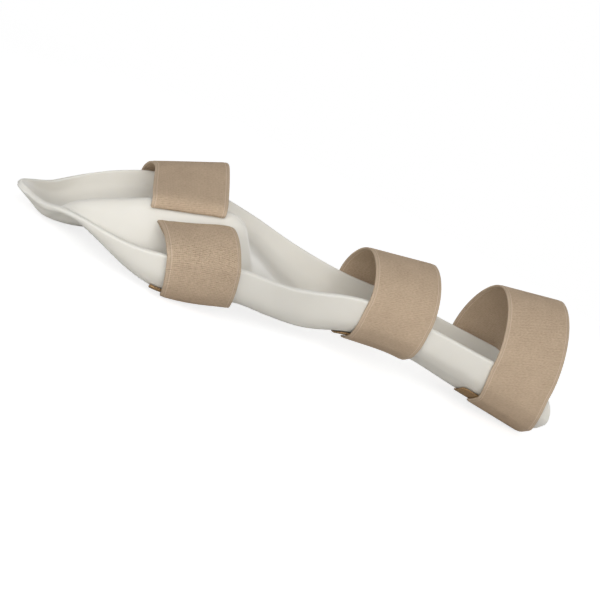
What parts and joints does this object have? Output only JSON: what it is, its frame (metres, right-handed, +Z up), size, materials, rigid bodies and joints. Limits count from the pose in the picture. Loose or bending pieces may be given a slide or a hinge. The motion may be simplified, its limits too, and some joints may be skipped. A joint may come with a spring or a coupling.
{
  "type": "wrist splint",
  "caption": "Moulded resting splint for a right wrist and hand: forearm trough, finger pan and thumb trough, held by loop straps that peel off hook pads and fold open.",
  "frame": {"origin": "on the table under the middle of the splint as it lies with its hollow side up", "axes": "+X along the forearm toward the elbow end, +Y toward the little-finger side, +Z up out of the trough"},
  "size_m": [0.309, 0.1124, 0.0758],
  "materials": {
    "shell": "smooth off-white thermoplastic sheet with a soft sheen",
    "loop_strap": "beige loop webbing with fine cross ribs and a smooth selvedge",
    "hook_tape": "golden brown woven hook tape"
  },
  "bodies": {
    "shell": {"splint_shell": "shell", "finger_anchor_pad": "hook_tape", "finger_closure_pad": "hook_tape", "finger_strap_anchor": "loop_strap", "thumb_anchor_pad": "hook_tape", "thumb_closure_pad": "hook_tape", "thumb_strap_anchor": "loop_strap", "wrist_anchor_pad": "hook_tape", "wrist_closure_pad": "hook_tape", "wrist_strap_anchor": "loop_strap", "forearm_anchor_pad": "hook_tape", "forearm_closure_pad": "hook_tape", "forearm_strap_anchor": "loop_strap"},
    "finger_flap": {"finger_strap": "loop_strap"},
    "thumb_arch": {"thumb_strap": "loop_strap"},
    "thumb_tail": {"thumb_strap_tail": "loop_strap"},
    "wrist_arch": {"wrist_strap": "loop_strap"},
    "wrist_tail": {"wrist_strap_tail": "loop_strap"},
    "forearm_arch": {"forearm_strap": "loop_strap"},
    "forearm_tail": {"forearm_strap_tail": "loop_strap"}
  },
  "joints": [
    {"name": "finger_strap_swing", "type": "hinge", "parent": "shell", "child": "finger_flap", "pos_m": [-0.07867, 0.05619, 0.03552], "axis": [-0.9881, -0.0029, -0.1535], "range_deg": [0, 100]},
    {"name": "thumb_strap_swing", "type": "hinge", "parent": "shell", "child": "thumb_arch", "pos_m": [-0.07441, -0.02976, 0.03716], "axis": [-0.9462, -0.0219, -0.3229], "range_deg": [0, 50]},
    {"name": "thumb_strap_tail_peel", "type": "hinge", "parent": "thumb_arch", "child": "thumb_tail", "pos_m": [-0.06644, -0.05285, 0.02489], "axis": [-0.968, -0.1832, -0.1717], "range_deg": [0, 140]},
    {"name": "wrist_strap_swing", "type": "hinge", "parent": "shell", "child": "wrist_arch", "pos_m": [0.04602, 0.04475, 0.03222], "axis": [-0.9995, -0.026, -0.015], "range_deg": [0, 45]},
    {"name": "wrist_strap_tail_peel", "type": "hinge", "parent": "wrist_arch", "child": "wrist_tail", "pos_m": [0.04598, -0.02088, 0.03582], "axis": [-0.9996, 0.0136, -0.0231], "range_deg": [0, 126]},
    {"name": "forearm_strap_swing", "type": "hinge", "parent": "shell", "child": "forearm_arch", "pos_m": [0.12538, 0.04757, 0.02986], "axis": [-0.9972, -0.055, 0.0499], "range_deg": [0, 45]},
    {"name": "forearm_strap_tail_peel", "type": "hinge", "parent": "forearm_arch", "child": "forearm_tail", "pos_m": [0.12537, -0.02345, 0.03338], "axis": [-0.9969, 0.0625, 0.0469], "range_deg": [0, 126]}
  ],
  "couplings": [
    {"joint": "thumb_strap_tail_peel", "follows": "thumb_strap_swing", "ratio": 2.8},
    {"joint": "wrist_strap_tail_peel", "follows": "wrist_strap_swing", "ratio": 2.8},
    {"joint": "forearm_strap_tail_peel", "follows": "forearm_strap_swing", "ratio": 2.8}
  ]
}
